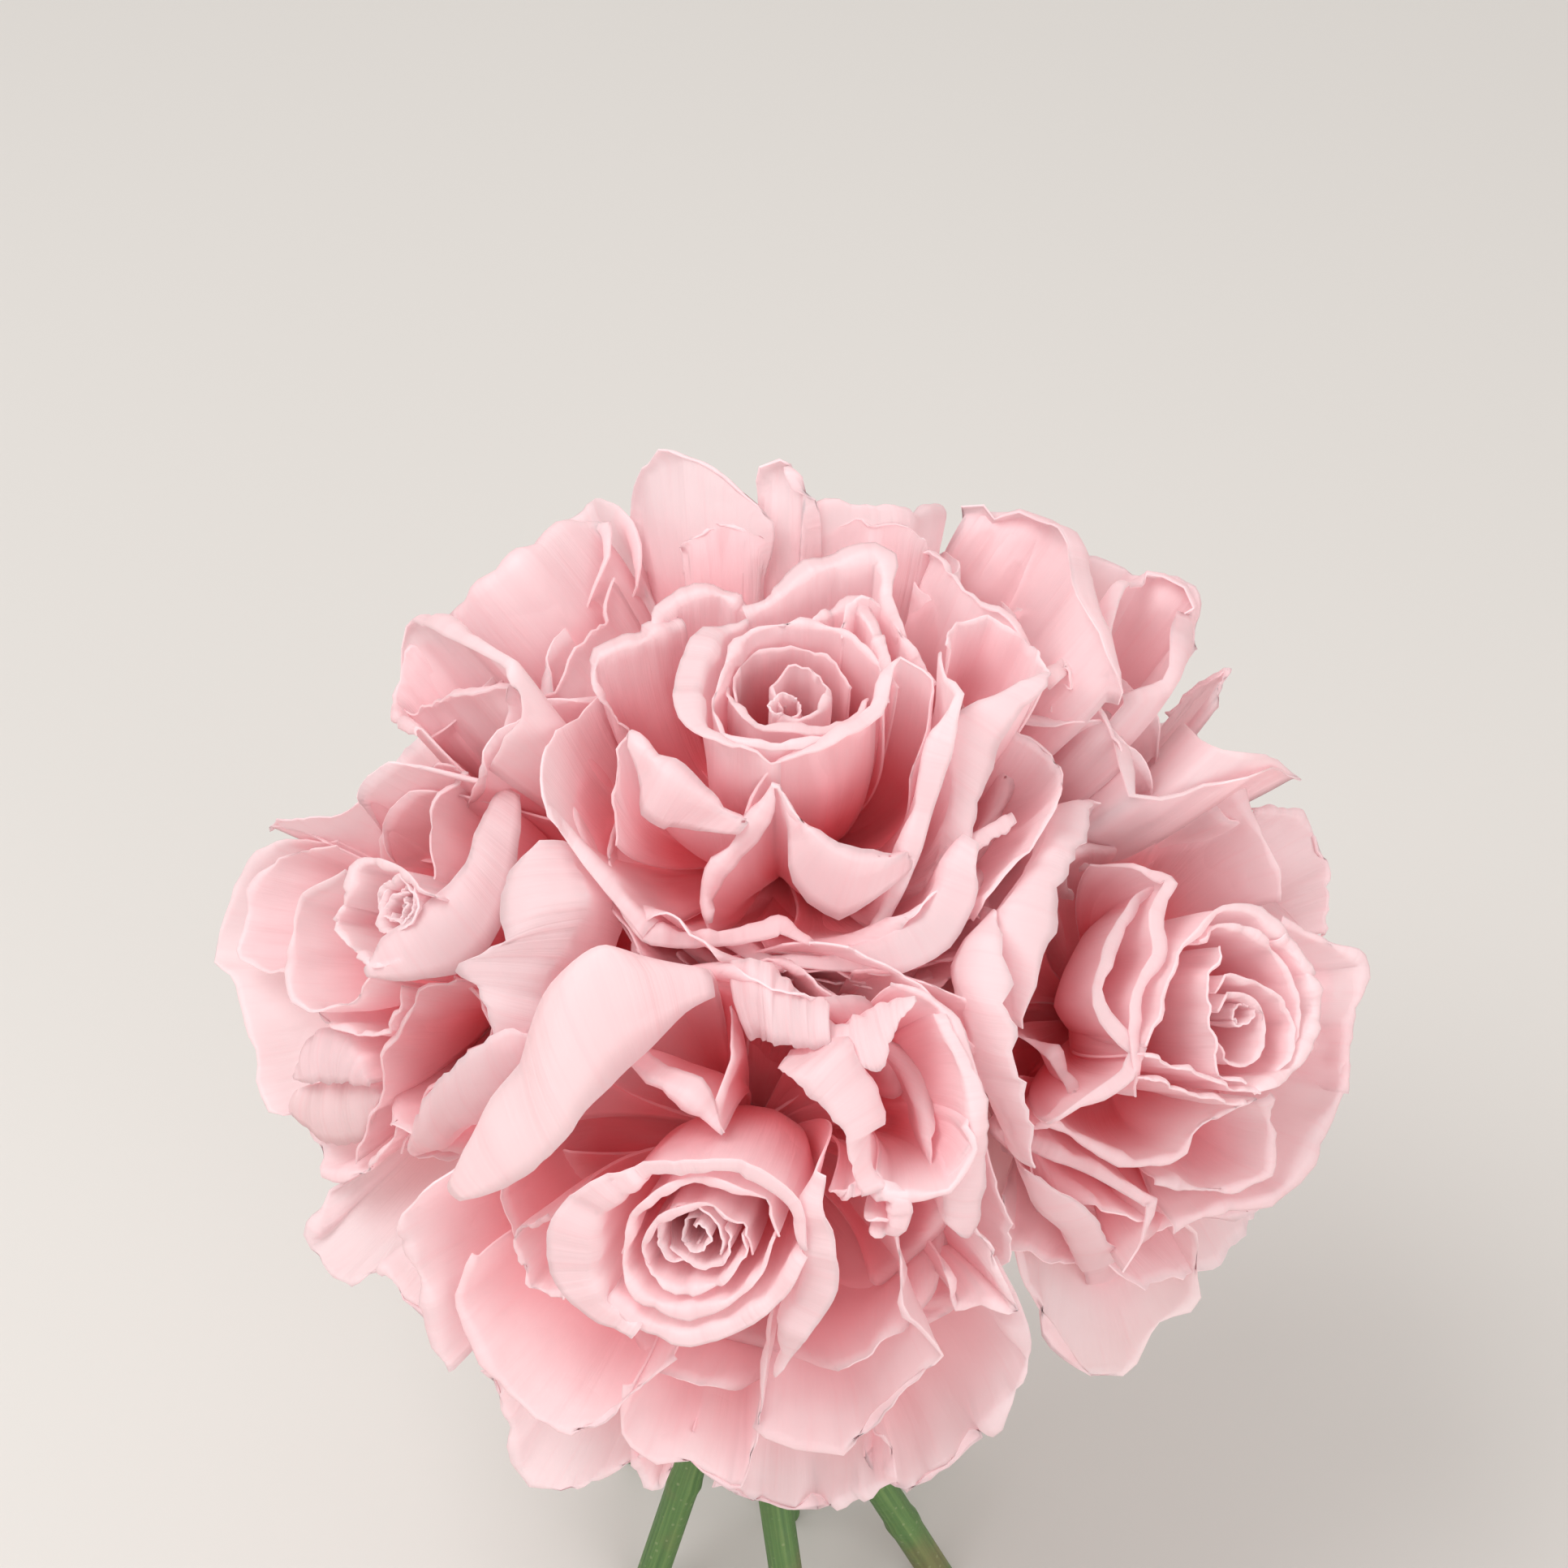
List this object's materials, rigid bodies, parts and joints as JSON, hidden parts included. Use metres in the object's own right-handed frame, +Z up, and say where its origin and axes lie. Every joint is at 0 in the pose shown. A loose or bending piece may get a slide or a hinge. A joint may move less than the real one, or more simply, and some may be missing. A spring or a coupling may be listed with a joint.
{
  "type": "rose bouquet",
  "caption": "Round hand-tied posy of fully open pink roses, their ruffled petals in layers, whose spiralled stems are tied at the waist and splay to stand on their cut ends.",
  "frame": {"origin": "on the ground that the cut stem ends stand on, under the middle of the bouquet's outline", "axes": "+Z up along the bunch of stems; -Y towards the side that the picture shows; +X to that side's right"},
  "size_m": [0.1924, 0.1561, 0.2394],
  "materials": {
    "petal": "matte",
    "stem": "satin",
    "twine": "matte"
  },
  "bodies": {
    "root": {"rose_top_bloom": "petal", "rose_front_bloom": "petal", "rose_right_bloom": "petal", "rose_back_right_bloom": "petal", "rose_back_bloom": "petal", "rose_back_left_bloom": "petal", "rose_left_bloom": "petal", "rose_top_stem": "stem", "rose_front_stem": "stem", "rose_right_stem": "stem", "rose_back_right_stem": "stem", "rose_back_stem": "stem", "rose_back_left_stem": "stem", "rose_left_stem": "stem", "tie": "twine"}
  },
  "joints": []
}
